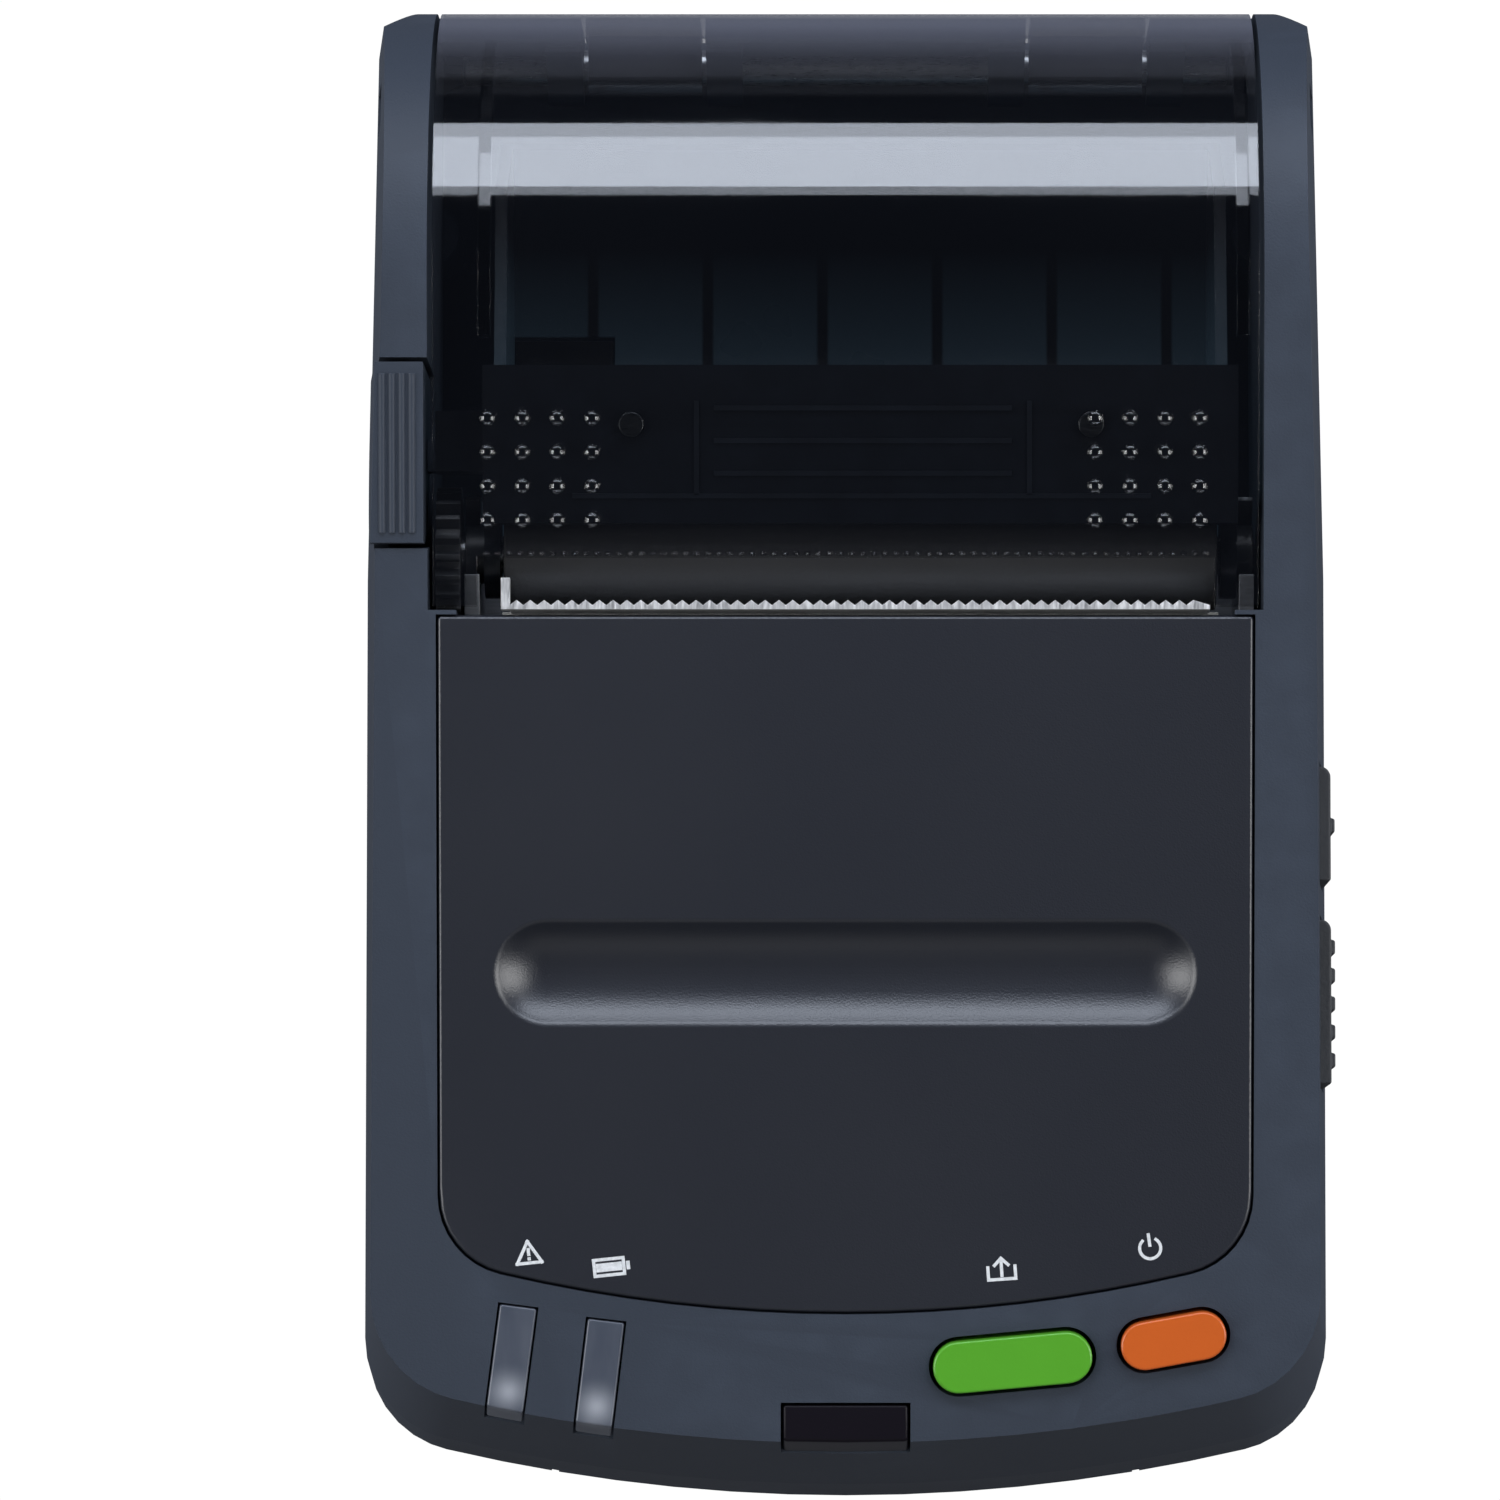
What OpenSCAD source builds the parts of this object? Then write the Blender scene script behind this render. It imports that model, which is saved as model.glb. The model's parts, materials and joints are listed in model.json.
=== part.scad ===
// Handheld printer for labels and receipts on a drop-in roll of paper.
// X runs to the right, Y to the rear, Z up; the origin is at the bottom, in the middle.

/* [Overall] */
// Width of the whole printer
body_w = 80; // [76:1:100]
// Depth from the front curve to the back
body_d = 122; // [112:1:150]
// Height at the crown over the paper roll
body_h = 47; // [47:1:60]
// Height of the sloping top at the front edge
front_h = 32.941; // [32:0.1:36]
// Radius of the rounded back
rear_r = 22.8; // [22.8:0.1:26]
// Height of the line where the two case halves meet
parting_z = 15; // [13:0.5:17]
// Height of the feet under the case
foot_h = 0.8; // [0.5:0.1:2]

/* [Plan outline] */
// Radius of the curve across the front
front_r = 147; // [100:1:250]
// Radius of the two front corners
corner_r = 8.5; // [6:0.5:12]
// How much each side draws in towards the back
rear_taper = 0.8; // [0:0.1:1.5]
// Width of the chamfer on each back corner
chamfer_x = 3.3; // [1:0.1:4]
// Depth of the chamfer on each back corner
chamfer_y = 2.2; // [1:0.1:4]
// How far the side walls lean in from the parting line to the top
side_lean = 2.4; // [1:0.1:3]
// How far the front wall leans back from the parting line to the top
front_lean = 6.4; // [3:0.1:8]

/* [Walls and gaps] */
// Thickness of the case walls
wall = 2; // [1.6:0.1:2.6]
// Thickness of the top wall that carries the panel and buttons
top_wall = 3.4; // [3:0.1:4]
// Thickness of the case floor
floor_t = 1.8; // [1.4:0.1:2.4]
// Gap between pieces that move past each other
move_gap = 0.4; // [0.3:0.05:0.6]
// Gap round a piece that is set into another
seat_gap = 0.15; // [0.05:0.05:0.3]
// Radial clearance of a shaft in its bore
run_gap = 0.05; // [0.02:0.01:0.09]

/* [Paper] */
// Width of the paper
paper_w = 58; // [50:1:58]
// Largest paper roll
roll_d = 40; // [30:1:40]
// Sideways place of the middle of the paper
paper_x = 1.2; // [0:0.1:1.5]

/* [Paper cover] */
// Thickness of the clear cover
cover_t = 1.8; // [1.4:0.1:2]
// Width of the opening between the two side rails
bay_w = 67.2; // [66:0.1:70]
// Thickness of the inner wall of each rail
rail_t = 1.6; // [1.2:0.1:2]
// Where the opening starts, from the front
bay_front = 71.2; // [70:0.1:73]
// Depth of the notch that lets the paper out
slot_d = 4.3; // [4:0.1:5]
// Width of the notch that lets the paper out
slot_w = 59.3; // [59:0.1:61]
// Height of the hinge axis above the ground
hinge_z = 12.6; // [12:0.1:13]
// Distance of the hinge axis in from the back
hinge_in = 2.6; // [2.5:0.1:3]
// Radius of the hinge pin
hinge_r = 1.5; // [1.2:0.1:1.6]
// Width of each hinge arm
arm_w = 9.5; // [7:0.5:12]
// Height of the top edge of the back wall
rear_wall_z = 23.4; // [22:0.1:24]

/* [Platen and drive] */
// Radius of the rubber platen
platen_r = 4.5; // [4:0.1:4.8]
// Distance of the platen axis behind the case opening
platen_back = 5.1; // [5:0.1:5.6]
// Depth of the platen axis under the top surface
platen_deep = 7.8; // [7.6:0.1:8.4]
// Radius of the platen shaft
shaft_r = 1.5; // [1.2:0.1:1.6]
// Gear tooth module
gear_m = 0.5; // [0.45:0.01:0.5]
// Teeth on the platen gear
platen_teeth = 20; // [18:1:20]
// Teeth on the idler gear
idler_teeth = 27; // [24:1:27]
// Teeth on the motor pinion
pinion_teeth = 12; // [12:1:14]
// Width of the gears
gear_w = 2; // [1.5:0.1:2.1]
// Diameter of the feed motor
motor_d = 13; // [10:0.5:13.5]
// Length of the feed motor
motor_l = 14; // [10:1:18]

/* [Top panel] */
// Width of the black panel
panel_w = 65.6; // [60:0.1:66]
// Thickness of the panel
panel_t = 2; // [1.6:0.1:2.2]
// Distance of the panel's front edge from the front of the case
panel_front = 14.9; // [14:0.1:18]
// Corner radius of the panel
panel_r = 6.5; // [4:0.5:8]
// Length of the finger groove
groove_w = 56.4; // [40:0.5:58]
// Width of the finger groove
groove_d = 8.4; // [6:0.1:10]
// Depth of the finger groove
groove_deep = 1.8; // [1:0.1:2.2]

/* [Buttons and lights] */
// Length and width of the feed button
feed_size = [12.9, 4.2]; // [[12.9, 4.2], [14, 4.4]]
// Length and width of the power button
power_size = [8.6, 3.9]; // [[8.6, 3.9], [9.4, 4.1]]
// How far a button moves when pressed
button_travel = 0.6; // [0.4:0.1:0.8]
// How far a button stands above the case
button_proud = 0.8; // [0.6:0.1:1]
// Width of each status light
light_w = 3; // [2:0.1:3.4]
// Width of the infrared window
ir_w = 10.2; // [8:0.1:12]

/* [Battery and board] */
// Width, depth and height of the battery pack
battery = [50, 40, 17]; // [[50, 40, 17], [46, 38, 16]]
// Thickness of the battery door
door_t = 1.6; // [1.2:0.1:1.6]
// Thickness of the circuit board
board_t = 1.6; // [1:0.1:1.6]
// Height of the circuit board's lower face
board_z = 23; // [22:0.1:23.5]

/* [Hidden] */
$fn = 48;

front_y = -body_d / 2;
rear_y = body_d / 2;
arc_y = rear_y - rear_r;
arc_z = body_h - rear_r;
// The top runs straight from the front edge and meets the rear arc smoothly
top_slope = atan2(arc_z - front_h, arc_y - front_y)
    + asin(rear_r / norm([arc_y - front_y, arc_z - front_h]));
tan_y = arc_y - rear_r * sin(top_slope);
tan_z = arc_z + rear_r * cos(top_slope);
bay_y = front_y + bay_front;
roll_r = roll_d / 2;
tray_r = roll_r + 0.6;
tray_t = 0.9;
screw_r = 1;
pilot_r = screw_r + 0.02;
paper_l = paper_x - paper_w / 2;
paper_rt = paper_x + paper_w / 2;
tray_l = paper_l - 0.2;
tray_rt = paper_rt + 0.3;
arm_xs = [-16.75, 20.05];
hinge_y = rear_y - hinge_in;
knuckle_r = hinge_in - 0.1;
platen_y = bay_y + platen_back;
function top_z(y) = tan_z - (tan_y - y) * tan(top_slope);
platen_z = top_z(platen_y) - platen_deep;
swing_len = norm([hinge_y - platen_y, platen_z - hinge_z]);
// The platen leaves along this direction as the cover opens, so the idler sits straight behind it
leave = [platen_z - hinge_z, hinge_y - platen_y] / swing_len;
platen_idler = gear_m * (platen_teeth + idler_teeth) / 2 + 0.12;
idler_y = platen_y - leave[0] * platen_idler;
idler_z = platen_z - leave[1] * platen_idler;
motor_y = idler_y;
motor_z = idler_z - gear_m * (idler_teeth + pinion_teeth) / 2 - 0.12;
plate_t = 1.2;
lug_t = 1.3;
// Along the platen from left to right: gear, frame plate, lug, rubber, lug, frame plate
lug_l = paper_l - 0.1;
lug_rt = paper_rt + 0.1;
plate_l = lug_l - lug_t - move_gap;
plate_rt = lug_rt + lug_t + 0.2;
gear_x = plate_l - plate_t - 0.3 - gear_w;
head_y = platen_y - platen_r - 0.3;
floor_z = foot_h + floor_t;
shell_levels = [[foot_h, 1.8, 1.8, 1.2], [5, 0, 0, 0], [parting_z, 0.2, 1, 0],
    [parting_z + 35, 0.2 + side_lean, 1 + front_lean, 0]];
case_col = [0.24, 0.26, 0.30];
panel_col = [0.16, 0.17, 0.19];
black = [0.06, 0.06, 0.07];
steel = [0.72, 0.73, 0.75];

function arc(c, r, a0, a1, n) = [for (i = [0:n]) let (a = a0 + (a1 - a0) * i / n)
    c + r * [cos(a), sin(a)]];

// Children stand on the sloping top surface, with Z straight out of it
module on_top(x, y) translate([x, y, top_z(y)]) rotate([top_slope, 0, 0]) children();

// A side view drawn in Y and Z, extruded along X
module across(x0, x1) translate([x0, 0, 0]) rotate([90, 0, 90]) linear_extrude(x1 - x0) children();

// A rod along X
module rod(x0, x1, y, z, r) translate([x0, y, z]) rotate([0, 90, 0]) cylinder(r = r, h = x1 - x0);

module block(x0, x1, y0, y1, z0, z1) translate([x0, y0, z0]) cube([x1 - x0, y1 - y0, z1 - z0]);

module stadium(size, h) hull() for (s = [-1, 1])
    translate([s * (size[0] - size[1]) / 2, 0, 0]) cylinder(d = size[1], h = h, $fn = 32);

// Side view of the case, g inside its faces, with its top t down and its bottom at z
module side_view(g, t, z) polygon(concat(
    [[front_y - 5, z], [rear_y - g, z]],
    arc([arc_y, arc_z], rear_r - g, 0, 90 + top_slope, 36),
    [[bay_y, top_z(bay_y) - g / cos(top_slope)], [bay_y, top_z(bay_y) - t / cos(top_slope)],
        [front_y - 5, top_z(front_y - 5) - t / cos(top_slope)]]));

// One thin level of the case's plan
module plan_level(level, g) {
    half = body_w / 2 - level[1];
    c_y = front_y + level[2] + front_r;
    reach = front_r - corner_r;
    turn = asin((half - corner_r) / reach);
    translate([0, 0, level[0]]) linear_extrude(0.01) {
        polygon(arc([0, c_y], front_r - g, -90 - turn, -90 + turn, 14));
        for (s = [-1, 1]) translate([s * (half - corner_r), c_y - reach * cos(turn)])
            circle(r = corner_r - g, $fn = 32);
        for (s = [-1, 1]) polygon([[0, 0], [s * (half - g), rear_y - 46],
            [s * (half - rear_taper - g), rear_y - level[3] - chamfer_y - g],
            [s * (half - rear_taper - chamfer_x - g), rear_y - level[3] - g], [0, rear_y - level[3] - g]]);
    }
}

// The case's outer form, g inside its faces
module form(g, t, z) intersection() {
    hull() for (level = shell_levels) plan_level(level, g);
    across(-body_w, body_w) side_view(g, t, z);
}

// The plan of the black panel, grown by g
module panel_plan(g) {
    half = panel_w / 2 + g;
    r = front_r - panel_front - 10;
    c_y = front_y + panel_front + r;
    reach = r + g - panel_r;
    turn = asin((half - panel_r) / reach);
    outline = concat(
        arc([-half + panel_r, c_y - reach * cos(turn)], panel_r, 180, 270 - turn, 8),
        arc([0, c_y], r + g, 270 - turn, 270 + turn, 16),
        arc([half - panel_r, c_y - reach * cos(turn)], panel_r, 270 + turn, 360, 8),
        [[half, bay_y - 0.5 + g], [-half, bay_y - 0.5 + g]]);
    polygon([for (p = outline) [p[0], p[1] / cos(top_slope)]]);
}

// Children follow the sloping surface, from z0 to z1 out of it
module on_slope(z0, z1) translate([0, 0, top_z(0)]) rotate([top_slope, 0, 0])
    translate([0, 0, z0]) linear_extrude(z1 - z0) children();

// ---- Case ----

rear_screw = [body_w / 2 - 5.2, rear_y - 17];
front_screw = [body_w / 2 - 6.4, front_y + 12.5];
screw_spots = [for (at = [rear_screw, front_screw], s = [-1, 1]) [s * at[0], at[1]]];
foot_spots = [for (at = [[body_w / 2 - 10, rear_y - 9.5], [body_w / 2 - 7.8, front_y + 21.5]], s = [-1, 1])
    [s * at[0], at[1]]];
board_half = body_w / 2 - 9;
board_rear = bay_y - 13.6;
post_x = board_half - 2;
post_spots = [[-post_x, front_y + 16.8], [post_x, front_y + 20],
    [-post_x, board_rear - 2.1], [post_x, board_rear - 9.25]];
feed_at = [13.5, front_y + 10.95, 5.3];
power_at = [26.5, front_y + 12.7, 10.4];
error_at = [[-26.45, front_y + 15.4], [-27.6, front_y + 6.7]];
light_at = [[-19.35, front_y + 14.25], [-20.4, front_y + 5.5]];
ir_y = front_y + 7.5;
jack_y = [bay_y - 20.8, bay_y - 12.4];
socket_y = [bay_y - 37.2, bay_y - 24.9];
port_z = [board_z + board_t, board_z + board_t + 8.2];
flap_z = [port_z[0] - 1.9, port_z[1] + 1.2];
jack_flap_y = [jack_y[0] - 0.5, jack_y[1] + 0.55];
socket_flap_y = [socket_y[0] - 0.6, socket_y[1] + 0.6];
side_x = body_w / 2 - 0.2 - side_lean * (flap_z[1] - parting_z) / 35;
flap_out = side_x + 0.9;
flap_in = side_x - 0.9;
strap_y = [rear_y - 9.4, rear_y - 5.9];
bay_half = bay_w / 2;
door_w = 52.4;
door_y = bay_y - 11.4;
lever_y = [bay_y + 5.3, bay_y + 19.7];
pivot_y = lever_y[1] - 1.9;
pivot_z = top_z(pivot_y) - 2;
lever_r = pivot_y - lever_y[0];
lever_in = bay_half + 0.3;
shelf_z = pivot_z - 12.2;
tip_screws_z = 23;

module arm_notches(g) for (x = arm_xs)
    block(x - arm_w / 2 - g, x + arm_w / 2 + g, rear_y - wall - 4, rear_y + 1,
        hinge_z - 3.4, rear_wall_z + 1);

// Bars that carry the hinge pin beside each arm, kept clear of the paper roll
module hinge_lugs() difference() {
    for (x = arm_xs, s = [-1, 1]) let (m = x + s * (arm_w / 2 + move_gap + 1.5))
        block(m - 1.5, m + 1.5, hinge_y - knuckle_r - 0.4, rear_y - 1, hinge_z - 2.6, rear_wall_z - 2);
    rod(-body_w, body_w, arc_y, arc_z, roll_r + 0.5);
    rod(-body_w, body_w, hinge_y, hinge_z, hinge_r + 0.02);
    block(-body_w, body_w, rear_y - 1.15, rear_y + 1, 0, parting_z);
}

module lower_case() color(case_col) {
    difference() {
        form(0, 0, foot_h);
        block(-body_w, body_w, -body_d, body_d, parting_z, body_h * 2);
        difference() {
            form(wall, top_wall, floor_z);
            for (p = screw_spots) translate([p[0], p[1], 0]) cylinder(r = 2.5, h = parting_z);
            for (p = post_spots) translate([p[0], p[1], 0]) cylinder(r = 2, h = board_z);
            for (s = [-1, 1]) block(s * 26 - 0.6, s * 26 + 0.6, front_y + 15, door_y + 1, 0, 13);
            block(-26, 26, door_y, door_y + 1.2, 0, 10);
            for (x = mech_feet) translate([x, mech_foot_y, 0]) cylinder(r = 2, h = parting_z);
        }
        for (p = screw_spots) translate([p[0], p[1], -1]) {
            cylinder(r = pilot_r, h = parting_z + 2);
            cylinder(r = 2.05, h = foot_h + 3.4);
        }
        for (p = foot_spots) translate([p[0], p[1], -1]) cylinder(r = 3.5, h = foot_h + 1.6);
        block(-door_w / 2 - move_gap, door_w / 2 + move_gap, front_y - 1, door_y,
            foot_h - 1, foot_h + door_t + 0.3);
        block(-24.9, 24.9, front_y - 1, door_y - 1, foot_h, floor_z + 0.5);
        block(-24.6, 24.6, front_y - 1, front_y + 6, foot_h, 6.2);
        arm_notches(move_gap);
        mech_holes();
        rod(-bay_half, bay_half, hinge_y, hinge_z, hinge_r + 0.3);
        block(-bay_half, bay_half, hinge_y, rear_y - 1, hinge_z - 2.8, parting_z + 1);
    }
    difference() {
        union() {
            for (p = post_spots) translate([p[0], p[1], 12]) cylinder(r = 1.9, h = board_z - 12);
            for (x = mech_feet) translate([x, mech_foot_y, 12]) cylinder(r = 1.9, h = 9);
        }
        for (p = post_spots) translate([p[0], p[1], board_z - 7]) cylinder(r = pilot_r, h = 8);
        mech_holes();
    }
}

module mech_holes() for (x = mech_feet) translate([x, mech_foot_y, 12]) cylinder(r = pilot_r, h = 10);

// The rails' inner walls, the posts and the lever's shelf, which the hollow of the upper case leaves
module upper_ribs() {
    for (s = [-1, 1]) translate([s * (bay_half + rail_t / 2), 0, 0])
        block(-rail_t / 2, rail_t / 2, bay_y - 1, rear_y, 0, body_h);
    for (p = screw_spots) translate([p[0], p[1], 0]) cylinder(r = 2.3, h = tip_screws_z + 3);
    block(-body_w, -bay_half, lever_y[0] - 2, lever_y[1] + 2, shelf_z - 1.5, body_h);
}

// The hollow in the left rail that the lever turns in
module lever_notch(g) intersection() {
    block(-body_w, -lever_in + g + 1, lever_y[0] - g, lever_y[1] + g, shelf_z, body_h * 2);
    union() {
        rod(-body_w, 0, pivot_y, pivot_z, lever_r + g);
        block(-body_w, 0, lever_y[0] - g, lever_y[1] + g, pivot_z, body_h * 2);
    }
}

module upper_case() color(case_col) {
    difference() {
        form(0, 0, foot_h);
        block(-body_w, body_w, -body_d, body_d, -1, parting_z);
        difference() {
            form(wall, top_wall, floor_z);
            upper_ribs();
        }
        block(-bay_half, bay_half, bay_y, rear_y - wall, -1, body_h * 2);
        block(-bay_half, bay_half, bay_y, rear_y + 1, rear_wall_z, body_h * 2);
        block(-panel_w / 2 + 1.5, panel_w / 2 - 1.5, bay_y - 6, bay_y + 1, body_h - 20, body_h * 2);
        on_slope(-panel_t, 5) panel_plan(seat_gap);
        on_slope(-top_wall - 3, 0) panel_plan(-2.4);
        for (p = screw_spots) translate([p[0], p[1], 0]) cylinder(r = pilot_r, h = tip_screws_z);
        on_top(feed_at[0], feed_at[1]) rotate(feed_at[2]) translate([0, 0, -9])
            stadium(feed_size + [0.7, 0.7], 12);
        on_top(power_at[0], power_at[1]) rotate(power_at[2]) translate([0, 0, -9])
            stadium(power_size + [0.7, 0.7], 12);
        light_bar(error_at, seat_gap, 5);
        light_bar(light_at, seat_gap, 5);
        block(-ir_w / 2 - seat_gap, ir_w / 2 + seat_gap, front_y - 1, ir_y + seat_gap,
            top_z(ir_y) - 5.2, body_h);
        block(side_x - 8.5, body_w, jack_y[0] - 0.3, jack_y[1] + 0.3, port_z[0] - 0.3, port_z[1] + 0.3);
        block(side_x - 8.5, body_w, socket_y[0] - 0.3, socket_y[1] + 0.3, port_z[0] - 0.3, port_z[1] + 0.3);
        for (f = [jack_flap_y, socket_flap_y])
            block(flap_in - 0.3, body_w, f[0] - 0.3, f[1] + 0.3, flap_z[0] - 0.3, flap_z[1] + 0.3);
        for (s = [-1, 1]) block(s * body_w / 2 - 4.4, s * body_w / 2 + 4.4, strap_y[0], strap_y[1], 18, 28);
        lever_notch(move_gap);
        block(-lever_in - 3, 0, lever_y[0], lever_y[1], shelf_z, body_h * 2);
        arm_notches(move_gap);
    }
    hinge_lugs();
    difference() {
        union() {
            block(-36.9, -35.7, pivot_y - 1.2, pivot_y + 1.2, shelf_z - 1, pivot_z);
            rod(-36.9, -35.7, pivot_y, pivot_z, 1.2);
        }
        rod(-body_w, 0, pivot_y, pivot_z, 0.82);
    }
}

// A status light's bar, from a point on the top down over the front edge
module light_bar(ends, g, deep) {
    way = ends[1] - ends[0];
    turn = atan2(way[1], way[0]);
    intersection() {
        form(g > 0 ? -1 : 0, g > 0 ? -1 : 0, foot_h);
        difference() {
            on_top(ends[0][0], ends[0][1]) rotate(turn) translate([-g, -light_w / 2 - g, -deep])
                cube([norm(way) + 4, light_w + 2 * g, deep + 2]);
            on_top(ends[1][0], ends[1][1]) translate([-6, -6, -deep - 6]) cube([12, 12, 3]);
        }
    }
}

module top_panel() color(panel_col) difference() {
    union() {
        on_slope(-panel_t, 0) panel_plan(0);
        on_top(0, groove_y) translate([0, 0, -groove_deep - 1.4])
            stadium([groove_w + 2, groove_d + 2], groove_deep);
    }
    on_top(0, groove_y) hull() for (s = [-1, 1])
        translate([s * (groove_w - groove_d) / 2, 0, groove_ball - groove_deep])
            sphere(r = groove_ball, $fn = 72);
}
groove_y = front_y + 42.2;
groove_ball = (groove_d * groove_d / 4 + groove_deep * groove_deep) / 2 / groove_deep;

module ir_window() color(black) intersection() {
    form(0.1, 0.1, foot_h);
    difference() {
        block(-ir_w / 2, ir_w / 2, front_y, ir_y, top_z(ir_y) - 5, body_h);
        block(-ir_w, ir_w, front_y + 7.2, ir_y - 1.6, 0, top_z(front_y) - 1.6);
    }
}

module error_light_pipe() color([0.45, 0.47, 0.5]) light_bar(error_at, 0, 4);

module power_light_pipe() color([0.45, 0.47, 0.5]) light_bar(light_at, 0, 4);

// A button's cap, its retaining flange and its stem down to the switch
module button(at, size) on_top(at[0], at[1]) rotate(at[2]) {
    translate([0, 0, -top_wall - 0.6]) stadium(size, top_wall + 0.6 + button_proud);
    translate([0, 0, -top_wall - 1.4]) stadium(size + [1.6, 1.6], 1);
    translate([0, 0, -top_wall - 1.8]) cylinder(r = 1.4, h = 1);
}

module feed_button() color([0.37, 0.73, 0.2]) button(feed_at, feed_size);

module power_button() color([0.9, 0.42, 0.16]) button(power_at, power_size);

// The lever that lifts the platen frame out of its slots
module release_lever() color(case_col) difference() {
    union() {
        intersection() {
            form(-0.4, -0.4, foot_h);
            block(-body_w, -lever_in, lever_y[0], lever_y[1], shelf_z + 0.4, body_h * 2);
            union() {
                rod(-body_w, 0, pivot_y, pivot_z, lever_r);
                block(-body_w, 0, lever_y[0], lever_y[1], pivot_z, body_h * 2);
            }
        }
        for (i = [0:3]) on_top(-37.2 + 0.8 * i, (lever_y[0] + lever_y[1]) / 2)
            translate([0, 6.4, 0.35]) rotate([90, 0, 0]) cylinder(r = 0.28, h = 12.8, $fn = 16);
        block(-lever_in - 1, ear_x[1] - 0.6, pivot_y - 6, pivot_y - 3.4, tongue_z - 1.6, tongue_z);
    }
    block(-36.9 - 0.35, -35.7 + 0.35, pivot_y - 3.2, body_d, 0, pivot_z + 1.5);
    rod(-37.7, 0, pivot_y, pivot_z, 0.8 + run_gap);
}
tongue_z = platen_z + 0.6;
ear_x = [gear_x, lug_l - lug_t - 0.8];

module lever_pin() color(steel) rod(-37.6, -34.4, pivot_y, pivot_z, 0.8);

// ---- Paper cover ----

// The cover's section: the crown, then the flat run down to the front edge
module cover_section(r0, r1, a0, y_end) polygon(concat(
    arc([arc_y, arc_z], r1, a0, 90 + top_slope, 32),
    [for (r = [r1, r0]) [y_end, top_z(y_end) - (rear_r - r) / cos(top_slope)]],
    arc([arc_y, arc_z], r0, 90 + top_slope, a0, 32)));

module paper_cover() color([0.3, 0.31, 0.34, 0.5]) difference() {
    half = bay_half - move_gap;
    union() {
        across(-half, half) cover_section(rear_r - cover_t, rear_r, 0, bay_y + 0.4);
        for (x = [lug_l - lug_t - 0.4, half - 1.7])
            across(x, x + 1) cover_section(rear_r - cover_t - 2.2, rear_r - cover_t + 0.2, 18, platen_y + 17);
        for (x = arm_xs) {
            block(x - arm_w / 2, x + arm_w / 2, rear_y - cover_t, rear_y - 0.02, hinge_z, arc_z + 0.4);
            rod(x - arm_w / 2, x + arm_w / 2, hinge_y, hinge_z, knuckle_r);
        }
        for (x = [-24.56, 24.25], i = [-1.5:1.5], j = [-1.5:1.5])
            on_top(x + 2.8 * i, bay_y + 11.2 + 2.73 * j) translate([0, 0, -0.1])
                cylinder(r = 0.6, h = 0.4, $fn = 16);
    }
    rod(-body_w, body_w, hinge_y, hinge_z, hinge_r + run_gap);
    block(-slot_w / 2, slot_w / 2, bay_y - 5, bay_y + slot_d, 0, body_h * 2);
    for (x = frame_screw_x) on_top(x, frame_screw_y) translate([0, 0, -cover_t - 2])
        cylinder(r = pilot_r, h = 2.6);
}

module hinge_pin() color(steel) rod(-32, 32, hinge_y, hinge_z, hinge_r);

// The black frame under the cover's front that carries the platen
module platen_frame() color(black) difference() {
    union() {
        across(lug_l - lug_t, lug_rt + lug_t) cover_frame_side(platen_y + 2, platen_y + 14.6);
        for (x = [lug_l - lug_t, lug_rt]) {
            rod(x, x + lug_t, platen_y, platen_z, 3.6);
            across(x, x + lug_t) polygon([[platen_y - 2, platen_z + 2.9], [platen_y + 3, platen_z + 3.8],
                [platen_y + 12, platen_z + 5], [platen_y + 9, platen_z - 1], [platen_y, platen_z - 3.5]]);
        }
        block(ear_x[0], lug_l - 0.4, pivot_y - 6.4, pivot_y - 1.5, tongue_z + 1.7, tongue_z + 4.4);
        for (i = [0:3]) on_slope(-cover_t - 3.4, -cover_t - 2.2)
            translate([lug_l + 1, platen_y + 3 + 2.9 * i]) square([paper_w - 2, 0.7]);
    }
    rod(lug_l, lug_rt, platen_y, platen_z, platen_r + move_gap);
    rod(-body_w, body_w, platen_y, platen_z, 2.4);
    rod(-body_w, body_w, arc_y, arc_z, roll_r + 0.5);
    for (x = frame_screw_x) on_top(x, frame_screw_y) {
        translate([0, 0, -12]) cylinder(r = pilot_r, h = 20);
        translate([0, 0, -14.6 - cover_t]) cylinder(r = 2, h = 10.25);
    }
}
frame_screw_x = [-17.25, 19.75];
frame_screw_y = platen_y + 9.6;

module cover_frame_side(y0, y1) polygon([
    [y0, top_z(y0) - cover_t * 1.02 - 0.05], [y1, top_z(y1) - cover_t * 1.02 - 0.05],
    [y1, top_z(y1) - cover_t - 4], [y0 + 6, top_z(y0) - cover_t - 5], [y0, top_z(y0) - cover_t - 3]]);

module cover_screws() color(steel) for (x = frame_screw_x) on_top(x, frame_screw_y) {
    translate([0, 0, -4.4 - cover_t]) cylinder(r = screw_r, h = 4.2 + 0.7);
    difference() {
        translate([0, 0, -5.6 - cover_t]) cylinder(r = 1.8, h = 1.2);
        translate([0, 0, -6.6 - cover_t]) cylinder(r = 0.8, h = 1.5, $fn = 6);
    }
}

module platen_roller() color([0.1, 0.1, 0.1]) difference() {
    rod(paper_l + 0.2, paper_rt - 0.2, platen_y, platen_z, platen_r);
    rod(-body_w, body_w, platen_y, platen_z, shaft_r);
}

module platen_shaft() color(steel) rod(gear_x - 0.1, plate_rt + plate_t + 0.1, platen_y, platen_z, shaft_r);

module platen_bushings() color([0.85, 0.84, 0.8]) difference() {
    for (x = [[plate_l - plate_t, lug_l], [lug_rt, plate_rt + plate_t]])
        rod(x[0], x[1], platen_y, platen_z, 2.38);
    rod(-body_w, body_w, platen_y, platen_z, shaft_r + run_gap);
}

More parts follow.
